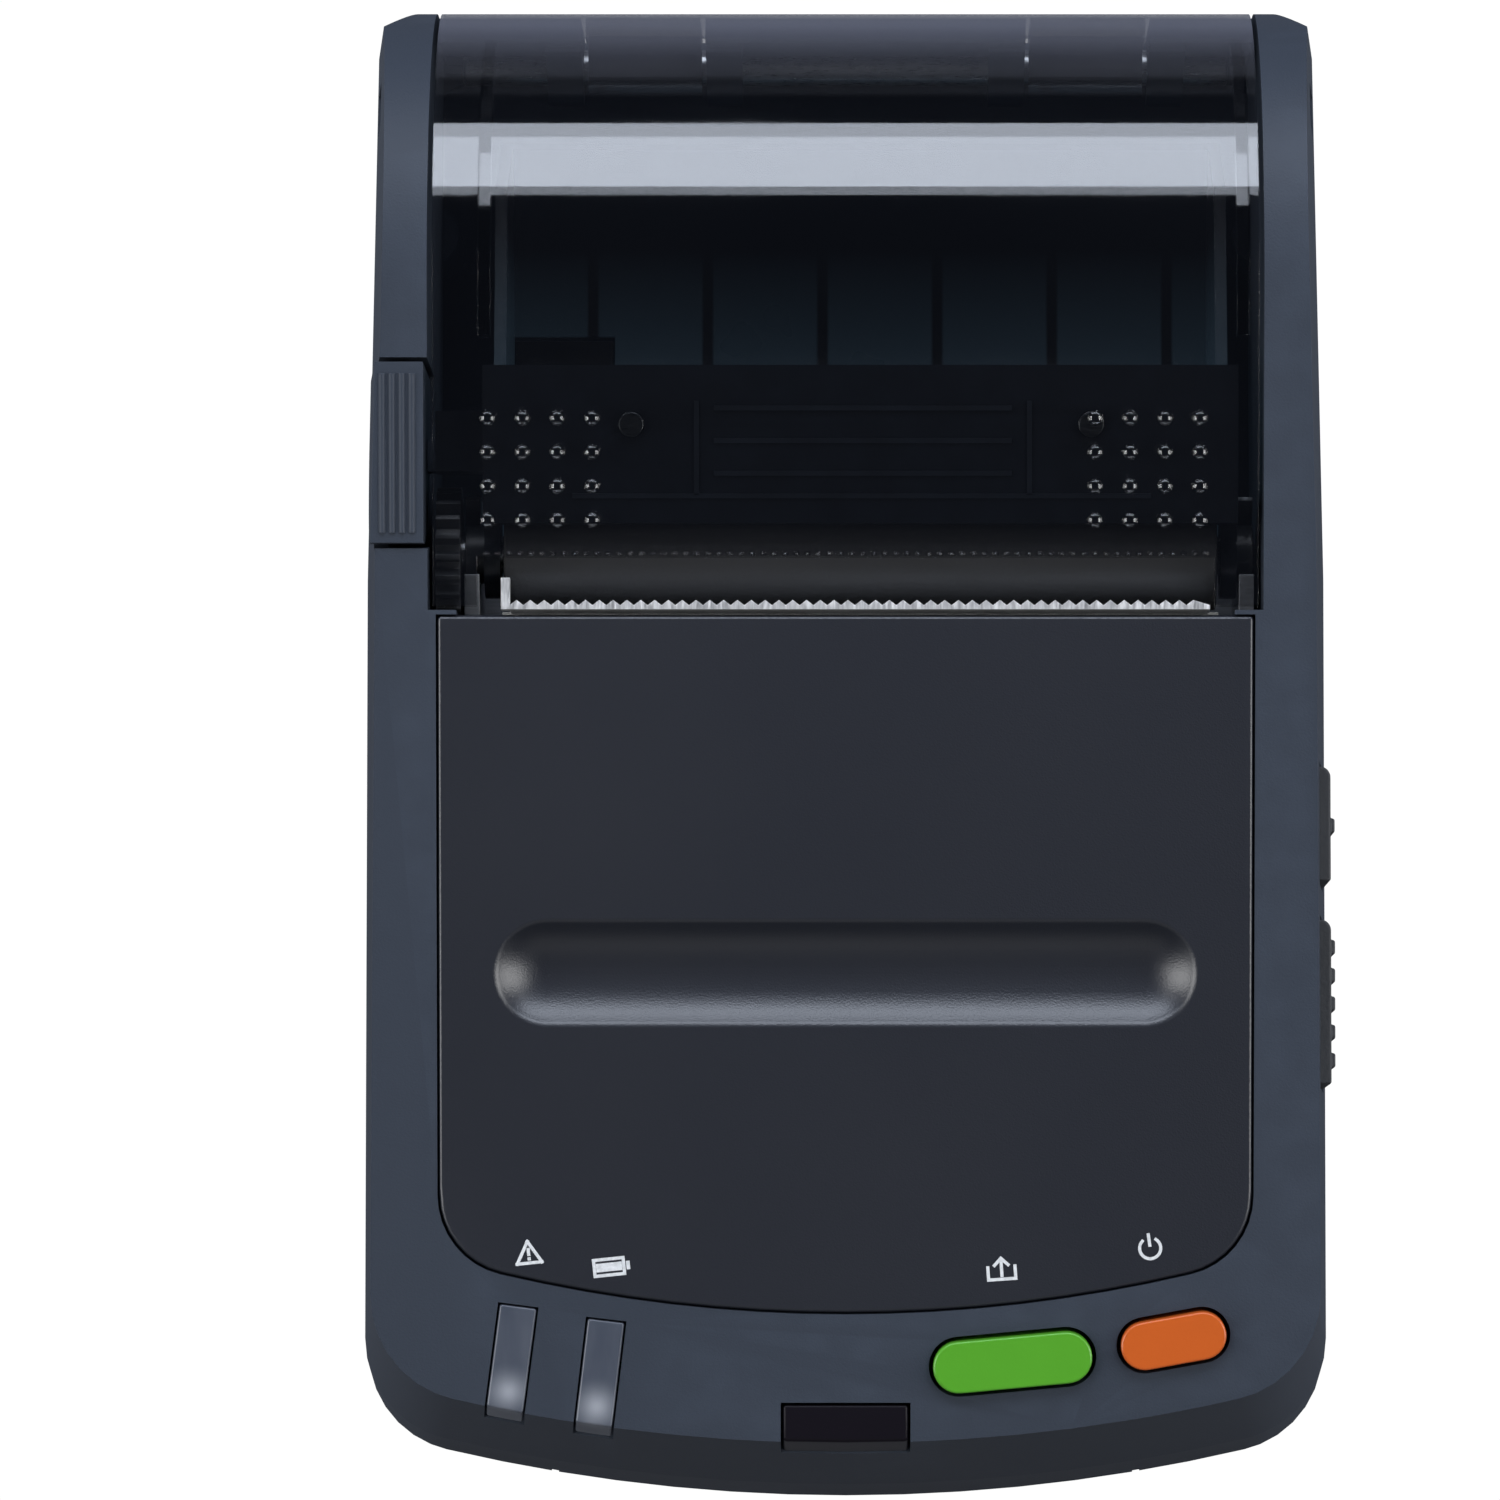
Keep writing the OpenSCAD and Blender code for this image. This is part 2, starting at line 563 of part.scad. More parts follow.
// A spur gear on an axis along X, with its first tooth turned by "turn" from +Z
module gear(teeth, y, z, bore, turn) {
    r = gear_m * teeth / 2;
    pitch = 360 / teeth;
    tooth = [[-0.5, -1.2], [-0.3, -1.2], [-0.12, 0.85], [0.12, 0.85], [0.3, -1.2]];
    outline = [for (i = [0:teeth - 1], p = tooth)
        let (a = 90 + turn + (i + p[0]) * pitch) (r + p[1] * gear_m) * [cos(a), sin(a)]];
    translate([gear_x, y, z]) rotate([90, 0, 90]) linear_extrude(gear_w) difference() {
        polygon(outline);
        circle(r = bore);
    }
}

// Angle of the line of centres from +Z, turning towards the front
mesh_a = atan2(leave[0], leave[1]);

module platen_gear() color([0.85, 0.84, 0.8]) gear(platen_teeth, platen_y, platen_z, shaft_r, 180 - mesh_a);

module idler_gear() color([0.85, 0.84, 0.8])
    gear(idler_teeth, idler_y, idler_z, hinge_r + run_gap, 180 / idler_teeth - mesh_a);

module idler_shaft() color(steel) rod(gear_x - 0.1, plate_l + 0.5, idler_y, idler_z, hinge_r);

// The pinion's tooth meets a gap of the idler straight below it
idler_phase = 180 / idler_teeth - mesh_a;
pinion_turn = (idler_phase - 180) * idler_teeth / pinion_teeth + 180 / pinion_teeth;

module motor_pinion() color([0.8, 0.66, 0.35]) gear(pinion_teeth, motor_y, motor_z, 1, -pinion_turn);

module motor_shaft_hole(r) rod(gear_x - 0.1, plate_l + 6, motor_y, motor_z, r);

module feed_motor() color([0.6, 0.61, 0.63]) difference() {
    union() {
        rod(plate_l, plate_l + motor_l, motor_y, motor_z, motor_d / 2);
        rod(plate_l + motor_l - 0.2, plate_l + motor_l + 1, motor_y, motor_z, 2.5);
    }
    motor_shaft_hole(1 + run_gap);
}

module motor_shaft() color(steel) motor_shaft_hole(1);

module mech_frame() color([0.5, 0.51, 0.53]) difference() {
    union() {
        for (x = [plate_l - plate_t, plate_rt])
            across(x, x + plate_t) polygon([[plate_y, x < 0 ? motor_z - 7 : 21],
                [motor_y + 6, x < 0 ? motor_z - 7 : 21],
                [platen_y + 4.6, platen_z - 6], [platen_y + 4.6, platen_z + 1], [platen_y - 2, platen_z + 3],
                [bay_y - 1, platen_z + 2.4], [plate_y, platen_z + 1.4]]);
        block(plate_l - 0.2, plate_rt + 0.2, plate_y, plate_y + 1.2, 21, platen_z + 1.2);
        block(paper_l, paper_rt, plate_y, plate_y + 1.2, platen_z + 1, bar_z);
        block(plate_l - 0.2, plate_rt + 0.2, plate_y, motor_y + 5,
            motor_z + motor_d / 2 + 0.4, motor_z + motor_d / 2 + 1.6);
        for (x = mech_feet) block(x - 3, x + 3, mech_foot_y - 2.1, plate_y + 0.2, 21, 22.2);
    }
    across(-body_w, body_w) polygon([for (p = [[-2.75, 0], [-3.7, 6], [3.7, 6], [2.75, 0]])
        [platen_y, platen_z] + p[1] * leave + p[0] * [-leave[1], leave[0]]]);
    rod(-body_w, body_w, platen_y, platen_z, 2.75);
    rod(-body_w, 0, idler_y, idler_z, hinge_r);
    rod(plate_l - 2, 0, motor_y, motor_z, 2);
    rod(-body_w, body_w, head_axis[0], head_axis[1], 1 + run_gap);
    for (x = mech_feet) translate([x, mech_foot_y, 0]) cylinder(r = screw_r + 0.1, h = body_h);
}
mech_feet = [-21, 24];
mech_foot_y = motor_y - motor_d / 2 - 2.02;
plate_y = min(head_y - 6.6, motor_y - 5.7);
spring_y = plate_y + 1.6;
spring_pitch = (head_y - 3.02 - spring_y) / 3;
bar_z = platen_z + 2.55;
head_axis = [head_y - 2, platen_z - 7];

module mech_screws() color(steel) for (x = mech_feet) translate([x, mech_foot_y, 0]) {
    translate([0, 0, 22.25]) cylinder(r = 1.8, h = 1.2);
    translate([0, 0, 12.2]) cylinder(r = screw_r, h = 10.2);
}

module head_heat_sink() color([0.6, 0.62, 0.65]) union() {
    block(paper_l - 0.2, paper_rt + 0.2, head_y - 2.6, head_y - 0.9, head_axis[1] - 1.4, platen_z + 1.2);
    rod(plate_l - 0.8, plate_rt + 0.8, head_axis[0], head_axis[1], 1);
}

module thermal_head() color([0.85, 0.85, 0.8])
    block(paper_l, paper_rt, head_y - 0.88, head_y, platen_z - 5, platen_z + 1.4);

// Coil springs that press the head on the platen, as turns of wire round Y
module head_springs() color(steel) for (x = [-14, 16]) for (i = [0:3])
    translate([x, spring_y + spring_pitch * i, platen_z]) rotate([90, 0, 0])
        rotate_extrude() translate([1.7, 0]) circle(r = 0.36, $fn = 16);

module tear_bar() color(steel) union() {
    bar = [paper_l + 0.8, paper_rt - 0.9];
    pitch = 1.11;
    block(bar[0], bar[1], bay_y + 0.05, bay_y + 0.4, bar_z + 0.1, top_z(bay_y) + 0.1);
    block(bar[0], bar[1], plate_y, bay_y + 0.2, bar_z, bar_z + 0.35);
    translate([0, 0, top_z(bay_y) - 0.3]) linear_extrude(0.4) polygon(concat(
        [[bar[1], bay_y + 0.2], [bar[0], bay_y + 0.2]],
        [for (i = [0:floor((bar[1] - bar[0]) / pitch) - 1], p = [0, 0.5])
            [bar[0] + (i + p) * pitch, bay_y + 0.38 + 0.84 * p]], [[bar[1], bay_y + 0.38]]));
    block(bar[0] - 0.7, bar[0] + 0.01, bay_y + 0.05, bay_y + 2.6, platen_z + 5.4, top_z(bay_y) + 0.1);
}

module paper_tray() color([0.1, 0.11, 0.12]) difference() {
    union() {
        across(tray_l - 1, tray_rt + 1) polygon(concat(
            arc([arc_y, arc_z], tray_r + tray_t, 186, 312, 36), arc([arc_y, arc_z], tray_r, 312, 186, 36)));
        for (x = [tray_l - 1, tray_rt]) across(x, x + 1) polygon(concat(
            arc([arc_y, arc_z], tray_r + 0.1, 190, 312, 24),
            [[arc_y + 9, arc_z - 3], [arc_y - 12, arc_z + 1]]));
    }
    for (x = [-21.6:9.7:28]) across(x, x + 0.5) polygon(concat(
        arc([arc_y, arc_z], tray_r + 0.4, 194, 250, 16), arc([arc_y, arc_z], tray_r - 1, 250, 194, 16)));
    block(tray_l - 0.01, tray_l + sensor_w, arc_y - 10.3, arc_y - 1.4, 0, 12);
}
sensor_w = 8.5;

module roll_sensor() color(black) difference() {
    across(tray_l + seat_gap, tray_l + sensor_w - seat_gap) polygon(concat(
        arc([arc_y, arc_z], tray_r + 0.6, 242.5, 265, 8), arc([arc_y, arc_z], tray_r + 0.1, 265, 242.5, 8)));
    translate([tray_l + 4, arc_y - 5.5, 0]) cylinder(r = 1.1, h = 12);
}

// ---- Board ----

module main_board() color([0.1, 0.32, 0.2]) difference() {
    intersection() {
        block(-board_half, board_half, front_y + 8.6, board_rear, board_z, board_z + board_t);
        form(wall + 0.5, top_wall, floor_z);
    }
    for (s = [-1, 1]) translate([s * front_screw[0], front_screw[1], 0]) cylinder(r = 3.2, h = body_h);
    for (p = post_spots) translate([p[0], p[1], 0]) cylinder(r = screw_r + 0.1, h = body_h);
}

// Left, right, front and rear edges and height of each chip, measured from the front of the case
chips = [[-9, 1, 30, 40, 1.2], [6, 13, 31, 37, 1], [-22, -14, 37, 43, 1], [-16, 4, 52, 55.6, 3.2]];

module board_chips() color(black) translate([0, front_y, board_z + board_t]) {
    for (c = chips) block(c[0], c[1], c[2], c[3], 0, c[4]);
    for (x = [-24, 9]) translate([x, 25, 0]) cylinder(r = 2.2, h = 5);
}

module board_screws() color(steel) for (p = post_spots) translate([p[0], p[1], 0]) {
    translate([0, 0, board_z + board_t]) cylinder(r = 1.8, h = 1.2);
    translate([0, 0, board_z - 5]) cylinder(r = screw_r, h = 5 + board_t);
}

module tact_switches() color([0.75, 0.75, 0.76]) for (at = [feed_at, power_at]) {
    x = at[0];
    y = at[1] + 1.1;
    top = board_z + board_t;
    stem = top_z(at[1]) - top_wall - 1.8;
    block(x - 3, x + 3, y - 3, y + 3, top, top + 2.4);
    translate([x, y, top + 2.4]) cylinder(r = 1.6, h = stem - button_travel - 0.5 - top - 2.4);
}

module status_leds() color([0.9, 0.9, 0.85]) for (ends = [error_at, light_at])
    translate([ends[0][0] - 0.3, ends[0][1] - 2.4, board_z + board_t]) {
        block(-1.4, 1.4, -0.8, 0.8, 0, 1);
        cylinder(r = 0.9, h = 2.2);
    }

module ir_transceiver() color([0.2, 0.08, 0.1]) {
    y = front_y + 9;
    block(-4.4, 4.4, y, y + 3.4, board_z + board_t, board_z + board_t + 3.4);
    for (x = [-2.2, 2.2]) translate([x, y + 0.1, board_z + board_t + 1.7]) rotate([90, 0, 0])
        cylinder(r = 1.3, h = 0.9);
}

module adapter_jack() color(black) {
    mid = (jack_y[0] + jack_y[1]) / 2;
    difference() {
        block(flap_in - 13, flap_in - 0.5, jack_y[0], jack_y[1], port_z[0], port_z[1]);
        rod(flap_in - 10, body_w, mid, (port_z[0] + port_z[1]) / 2, 3.05);
    }
    rod(flap_in - 11, flap_in - 2, mid, (port_z[0] + port_z[1]) / 2, 0.85);
}

module interface_socket() color([0.3, 0.3, 0.32]) {
    difference() {
        block(flap_in - 11, flap_in - 0.5, socket_y[0], socket_y[1], port_z[0], port_z[1]);
        block(flap_in - 9, body_w, socket_y[0] + 1, socket_y[1] - 1, port_z[0] + 1, port_z[1] - 1);
    }
    block(flap_in - 10, flap_in - 5, socket_y[0] + 3, socket_y[1] - 3, port_z[0] + 3.4, port_z[0] + 4.8);
}

// A rubber flap hinged at its rear end, with raised bars
module flap(span, bars) {
    hinge = [flap_in + 0.9, span[1] - 1];
    difference() {
        union() {
            block(flap_in, flap_out, span[0], hinge[1], flap_z[0], flap_z[1]);
            translate([hinge[0], hinge[1], flap_z[0]]) cylinder(r = 0.9, h = flap_z[1] - flap_z[0]);
            for (y = bars) block(flap_out - 0.1, flap_out + 0.4, y - 0.6, y + 0.6,
                flap_z[0] + 1.5, flap_z[1] - 1.5);
        }
        block(-body_w, hinge[0] - 0.95, hinge[1] - 0.01, body_d, 0, body_h);
    }
}

module jack_cover() color([0.13, 0.13, 0.14]) flap(jack_flap_y, [jack_y[0] + 4.1]);

module interface_cover() color([0.13, 0.13, 0.14]) flap(socket_flap_y,
    [for (i = [0:4]) socket_y[0] + 1.4 + 2.3 * i]);

// ---- Battery ----

battery_y = door_y - 2.8;
battery_z = foot_h + door_t + 0.9;

module battery_pack() color([0.15, 0.17, 0.22]) difference() {
    w = battery[0] / 2;
    block(-w, w, battery_y - battery[1], battery_y, battery_z, battery_z + battery[2]);
    for (i = [0:2]) block(9 + 4 * i, 11 + 4 * i, battery_y - 1, battery_y + 1, 9, 18);
}

module battery_contacts() color([0.85, 0.7, 0.35]) for (i = [0:2])
    block(9.5 + 4 * i, 10.5 + 4 * i, battery_y - 0.8, battery_y + 1, 10, 17);

// The door slides out forwards, with a lip that closes the foot of the front wall
module battery_door() color(case_col) intersection() {
    form(0, 0, foot_h);
    union() {
        block(-door_w / 2, door_w / 2, front_y, door_y - 0.3, foot_h, foot_h + door_t);
        block(-24, 24, front_y, front_y + 3.6, foot_h, 5.8);
        for (i = [0:4]) block(-8, 8, front_y + 8 + 2 * i, front_y + 9 + 2 * i, foot_h, foot_h + door_t + 0.3);
    }
}

module rubber_feet() color([0.08, 0.08, 0.08])
    for (p = foot_spots) translate([p[0], p[1], 0]) cylinder(r = 3.4, h = foot_h + 0.5);

module case_screws() color(steel) for (p = screw_spots) translate([p[0], p[1], 0]) difference() {
    union() {
        translate([0, 0, foot_h + 1]) cylinder(r = 1.9, h = 1.4);
        translate([0, 0, foot_h + 2.4]) cylinder(r = screw_r, h = tip_screws_z - foot_h - 3);
    }
    cylinder(r = 0.8, h = foot_h + 1.8, $fn = 6);
}

lower_case();
upper_case();
top_panel();
ir_window();
error_light_pipe();
power_light_pipe();
feed_button();
power_button();
release_lever();
lever_pin();
paper_cover();
hinge_pin();
platen_frame();
cover_screws();
platen_roller();
platen_shaft();
platen_bushings();
platen_gear();
idler_gear();
idler_shaft();
motor_pinion();
motor_shaft();
feed_motor();
mech_frame();
mech_screws();
head_heat_sink();
thermal_head();
head_springs();
tear_bar();
paper_tray();
roll_sensor();
main_board();
board_chips();
board_screws();
tact_switches();
status_leds();
ir_transceiver();
adapter_jack();
interface_socket();
jack_cover();
interface_cover();
battery_pack();
battery_contacts();
battery_door();
rubber_feet();
case_screws();
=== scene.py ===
import json
import math
import bmesh
import bpy
from mathutils import Matrix, Vector


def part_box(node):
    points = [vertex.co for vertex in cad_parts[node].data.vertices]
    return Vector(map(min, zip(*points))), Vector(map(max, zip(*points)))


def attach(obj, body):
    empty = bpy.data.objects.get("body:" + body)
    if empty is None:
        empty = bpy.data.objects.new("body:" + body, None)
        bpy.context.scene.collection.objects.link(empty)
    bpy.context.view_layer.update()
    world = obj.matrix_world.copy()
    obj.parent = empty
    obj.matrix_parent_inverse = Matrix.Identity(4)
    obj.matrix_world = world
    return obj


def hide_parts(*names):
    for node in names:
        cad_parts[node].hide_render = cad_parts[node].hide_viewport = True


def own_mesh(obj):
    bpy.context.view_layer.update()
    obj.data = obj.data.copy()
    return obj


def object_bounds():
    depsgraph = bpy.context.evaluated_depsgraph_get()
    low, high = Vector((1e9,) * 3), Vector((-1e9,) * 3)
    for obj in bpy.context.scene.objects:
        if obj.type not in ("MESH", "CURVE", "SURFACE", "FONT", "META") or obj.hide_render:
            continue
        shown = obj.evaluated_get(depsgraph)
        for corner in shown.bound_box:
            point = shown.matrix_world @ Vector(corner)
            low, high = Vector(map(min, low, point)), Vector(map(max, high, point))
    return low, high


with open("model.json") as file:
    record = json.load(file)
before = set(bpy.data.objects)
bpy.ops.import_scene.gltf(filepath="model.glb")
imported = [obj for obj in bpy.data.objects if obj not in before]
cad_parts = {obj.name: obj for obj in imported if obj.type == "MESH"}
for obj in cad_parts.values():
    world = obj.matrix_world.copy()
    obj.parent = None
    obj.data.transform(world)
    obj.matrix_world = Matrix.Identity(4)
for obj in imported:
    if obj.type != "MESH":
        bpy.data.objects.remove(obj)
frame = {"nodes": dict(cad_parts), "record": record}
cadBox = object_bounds()
mm = 0.001
print("stage: frame loaded")

# ---------- camera and light ----------
studio = {
    "cameraHigh": 0.800, "aim": 0.023, "tilt": 4.0, "lens": 233.1, "shiftX": -0.0637, "shiftY": 0.0027,
    "world": 0.015, "floorSeen": (1.03, 1.03, 1.03), "floorGlow": (0.05, 0.052, 0.058),
    "floorBounce": (0.09, 0.094, 0.105), "floorHalf": 1.6, "floorDrop": 0.0002, "skyTone": (0.9, 0.94, 1, 1),
}


def makeCamera():
    cam = bpy.data.objects.new("camera", bpy.data.cameras.new("camera"))
    bpy.context.collection.objects.link(cam)
    turn = math.radians(studio["tilt"])
    away = studio["cameraHigh"]
    cam.location = (0, -away * math.sin(turn), studio["aim"] + away * math.cos(turn))
    cam.rotation_euler = (turn, 0, 0)
    cam.data.lens = studio["lens"]
    cam.data.shift_x = studio["shiftX"]
    cam.data.shift_y = studio["shiftY"]
    cam.data.clip_start = 0.01
    bpy.context.scene.camera = cam


makeCamera()


def softBox(name, place, aim, size, watts, tone=(1, 1, 1)):
    lamp = bpy.data.lights.new(name, "AREA")
    lamp.shape = "RECTANGLE"
    lamp.size, lamp.size_y = size
    lamp.energy = watts
    lamp.color = tone
    box = bpy.data.objects.new(name, lamp)
    box.location = place
    box.rotation_euler = (Vector(aim) - Vector(place)).to_track_quat("-Z", "Y").to_euler()
    bpy.context.collection.objects.link(box)


# ---------- shader maths ----------
class Wire:
    # an output socket that can be added, multiplied and so on
    def __init__(self, kit, socket):
        self.kit, self.socket = kit, socket

    def math(self, op, a, b=None):
        given = {0: a} if b is None else {0: a, 1: b}
        return self.kit.node("ShaderNodeMath", {"operation": op}, given)

    def __add__(self, b): return self.math("ADD", self, b)
    def __radd__(self, b): return self.math("ADD", b, self)
    def __sub__(self, b): return self.math("SUBTRACT", self, b)
    def __rsub__(self, b): return self.math("SUBTRACT", b, self)
    def __mul__(self, b): return self.math("MULTIPLY", self, b)
    def __rmul__(self, b): return self.math("MULTIPLY", b, self)
    def __truediv__(self, b): return self.math("DIVIDE", self, b)
    def __pow__(self, b): return self.math("POWER", self, b)


class Finish:
    # one material and its principled shader
    def __init__(self, name, base, rough, metal=0.0, **extra):
        self.mat = bpy.data.materials.new(name)
        self.mat.use_nodes = True
        self.tree = self.mat.node_tree
        self.shader = self.tree.nodes["Principled BSDF"]
        self.set("Base Color", (*base, 1))
        self.set("Roughness", rough)
        self.set("Metallic", metal)
        for key, value in extra.items():
            self.set(key.replace("_", " "), value)
        self.place = self.node("ShaderNodeTexCoord", {}, {}, "Object")

    def node(self, kind, settings, sockets, out=0):
        made = self.tree.nodes.new(kind)
        for key, value in settings.items():
            setattr(made, key, value)
        for key, value in sockets.items():
            if isinstance(value, Wire):
                self.tree.links.new(value.socket, made.inputs[key])
            else:
                made.inputs[key].default_value = value
        return Wire(self, made.outputs[out])

    def set(self, socket, value):
        if isinstance(value, Wire):
            self.tree.links.new(value.socket, self.shader.inputs[socket])
        else:
            self.shader.inputs[socket].default_value = value

    def noise(self, scale, detail=2.0, rough=0.5, stretch=(1, 1, 1)):
        where = self.node("ShaderNodeMapping", {}, {"Vector": self.place, "Scale": stretch})
        return self.node("ShaderNodeTexNoise", {}, {
            "Vector": where, "Scale": scale, "Detail": detail, "Roughness": rough})

    def span(self, wire, low, high, outLow, outHigh):
        return self.node("ShaderNodeMapRange", {}, {0: wire, 1: low, 2: high, 3: outLow, 4: outHigh})

    def blendTone(self, factor, toneA, toneB):
        return self.node("ShaderNodeMix", {"data_type": "RGBA"}, {
            0: factor, 6: (*toneA, 1), 7: (*toneB, 1)}, 2)

    def bump(self, height, strength, depth):
        self.set("Normal", self.node("ShaderNodeBump", {}, {
            "Height": height, "Strength": strength, "Distance": depth}))

    def paintEdgeHighlight(self, toneA, toneB, amount):
        # painted highlight: corners and ridges are painted paler in patches, standing in for light caught
        # along the edges
        edge = self.node("ShaderNodeNewGeometry", {}, {}, "Pointiness")
        mask = self.span(edge, 0.52, 0.60, 0.0, amount)
        patch = self.span(self.noise(320, 3), 0.35, 0.7, 0.2, 1.0)
        self.set("Base Color", self.blendTone(mask * patch, toneA, toneB))


def tint(tone, by):
    return tuple(min(1.0, c * by) for c in tone)


def mouldedPlastic(name, tone, rough, grain, depth, edgeHighlight=0.35, **extra):
    # spark-eroded texture with faint cloudiness
    f = Finish(name, tone, rough, **extra)
    cloud = f.span(f.noise(38, 4), 0.3, 0.7, 0.0, 1.0)
    f.set("Roughness", cloud * 0.03 + (rough - 0.015))
    # painted highlight along corners and ridges
    f.paintEdgeHighlight(tone, tint(tone, 1.9), edgeHighlight)
    fine = f.noise(grain, 2.5, 0.6)
    f.bump(fine, 0.5, depth)
    return f.mat


def brushedMetal(name, tone, rough, along, metal=1.0):
    f = Finish(name, tone, rough, metal)
    lines = f.noise(900, 3, 0.6, along)
    f.set("Roughness", f.span(lines, 0.3, 0.7, rough - 0.08, rough + 0.12))
    f.set("Base Color", f.blendTone(f.span(lines, 0.3, 0.7, 0.0, 1.0), tint(tone, 0.85), tint(tone, 1.08)))
    f.bump(lines, 0.15, 0.00004)
    return f.mat


# the cover is clear on top, and its hinge arms look solid because they are thick; its rear wall is made more
# opaque and painted paler as a painted reflection
clearTop = {"armsFrom": 0.0235, "topFrom": 0.0275, "top": 0.28,
            "backFrom": 0.0535, "backTo": 0.059, "back": 0.75,
            "tone": (0.003, 0.004, 0.007), "backPaintedReflection": (0.085, 0.092, 0.128)}


def smokedClear(name):
    # dark clear plastic: mostly see-through, with a clean gloss
    f = Finish(name, clearTop["tone"], 0.045, IOR=2.1, Specular_IOR_Level=0.9)
    dust = f.span(f.noise(140, 5, 0.7), 0.55, 0.8, 0.0, 0.10)
    f.set("Roughness", f.span(f.noise(60, 4), 0.3, 0.7, 0.03, 0.07))
    height = f.node("ShaderNodeSeparateXYZ", {}, {0: f.place}, "Z")
    back = f.node("ShaderNodeSeparateXYZ", {}, {0: f.place}, "Y")
    seen = f.span(height, clearTop["armsFrom"], clearTop["topFrom"], 0.97, clearTop["top"])
    # the rear wall is made more opaque so that its painted reflection shows
    seen = f.node("ShaderNodeMath", {"operation": "MAXIMUM"}, {
        0: seen, 1: f.span(back, clearTop["backFrom"], clearTop["backTo"], 0.0, clearTop["back"])})
    f.set("Alpha", dust * 0.12 + seen)
    # painted reflection: the rear wall is painted paler, standing in for the floor mirrored in it
    f.set("Base Color", f.blendTone(
        f.span(back, clearTop["backFrom"], clearTop["backTo"], 0.0, 1.0),
        clearTop["tone"], clearTop["backPaintedReflection"]))
    return f.mat


def rubberFinish(name, tone, rough, grain=2600, depth=0.00008):
    f = Finish(name, tone, rough)
    bloom = f.span(f.noise(55, 4), 0.4, 0.7, 0.0, 1.0)
    f.set("Base Color", f.blendTone(bloom, tone, tint(tone, 1.35)))
    f.set("Roughness", bloom * 0.1 + (rough - 0.05))
    f.bump(f.noise(grain, 2), 0.4, depth)
    return f.mat


def lightPipeFinish(name, centre):
    # grey translucent plastic, with a painted hot spot: paler colour over the lamp beneath stands in for its
    # light
    f = Finish(name, (0.07, 0.075, 0.09), 0.30)
    away = f.node("ShaderNodeVectorMath", {"operation": "DISTANCE"}, {0: f.place, 1: centre}, "Value")
    paintedGlow = f.span(away, 0.0, 0.0026, 1.0, 0.0) ** 2.0
    streak = f.span(f.noise(420, 3, 0.5, (1, 0.15, 1)), 0.35, 0.75, 0.0, 0.25)
    # painted hot spot over the lamp, plus faint paler streaks
    f.set("Base Color", f.blendTone(paintedGlow + streak * 0.5, (0.045, 0.054, 0.076), (0.34, 0.36, 0.40)))
    f.bump(f.noise(900, 2), 0.2, 0.00005)
    return f.mat


def boardFinish(name):
    # solder mask over copper tracks, as a fine maze of darker and paler green
    f = Finish(name, (0.02, 0.12, 0.05), 0.35)
    where = f.node("ShaderNodeMapping", {}, {"Vector": f.place, "Scale": (260, 260, 1)})
    cells = f.node("ShaderNodeTexBrick", {"offset": 0.37}, {
        "Vector": where, "Scale": 1.0, "Mortar Size": 0.09, "Mortar Smooth": 0.2}, "Fac")
    f.set("Base Color", f.blendTone(cells, (0.012, 0.085, 0.032), (0.05, 0.2, 0.08)))
    f.bump(cells, 0.3, 0.00006)
    return f.mat


def wrapFinish(name):
    f = Finish(name, (0.02, 0.035, 0.07), 0.3)
    folds = f.noise(30, 5, 0.55, (1, 3, 1))
    f.set("Base Color", f.blendTone(f.span(folds, 0.35, 0.65, 0, 1), (0.016, 0.03, 0.06), (0.03, 0.05, 0.1)))
    f.bump(folds, 0.5, 0.0003)
    return f.mat


# tones and spans of the tray's painted sheen and painted glow
trayTop = {
    "firstGroove": -0.02135, "groovePitch": 0.0097, "grooveEdge": (0.035, 0.06), "sheenFade": (0.030, 0.044),
    "dark": (0.008, 0.010, 0.014), "paintedSheenTone": (0.030, 0.045, 0.060), "paintedGlow": (0.011, 0.021, 0.031),
}


def trayFinish(name):
    # painted sheen: the tray is painted a paler blue towards the print head, with a faint emitted glow
    # standing in for light there; the painted sheen stops at the grooves, which so read as dark lines
    f = Finish(name, (0.02, 0.03, 0.04), 0.32)
    along = f.node("ShaderNodeSeparateXYZ", {}, {0: f.place}, "Y")
    across = f.node("ShaderNodeSeparateXYZ", {}, {0: f.place}, "X")
    step = f.node("ShaderNodeMath", {"operation": "FRACT"}, {
        0: (across - trayTop["firstGroove"]) / trayTop["groovePitch"] + 0.5})
    fromGroove = f.node("ShaderNodeMath", {"operation": "ABSOLUTE"}, {0: step - 0.5})
    paintedSheen = (f.span(along, *trayTop["sheenFade"], 1.0, 0.0)
              * f.span(fromGroove, *trayTop["grooveEdge"], 0.0, 1.0))
    # painted sheen and painted glow: paler blue and a faint emission near the print head stand in for light
    # falling there
    f.set("Base Color", f.blendTone(paintedSheen, trayTop["dark"], trayTop["paintedSheenTone"]))
    f.set("Emission Color", f.blendTone(paintedSheen, (0, 0, 0), trayTop["paintedGlow"]))
    f.set("Emission Strength", 1.0)
    f.set("Roughness", f.span(f.noise(60, 3), 0.3, 0.7, 0.26, 0.34))
    f.bump(f.noise(3600, 2), 0.3, 0.00003)
    return f.mat


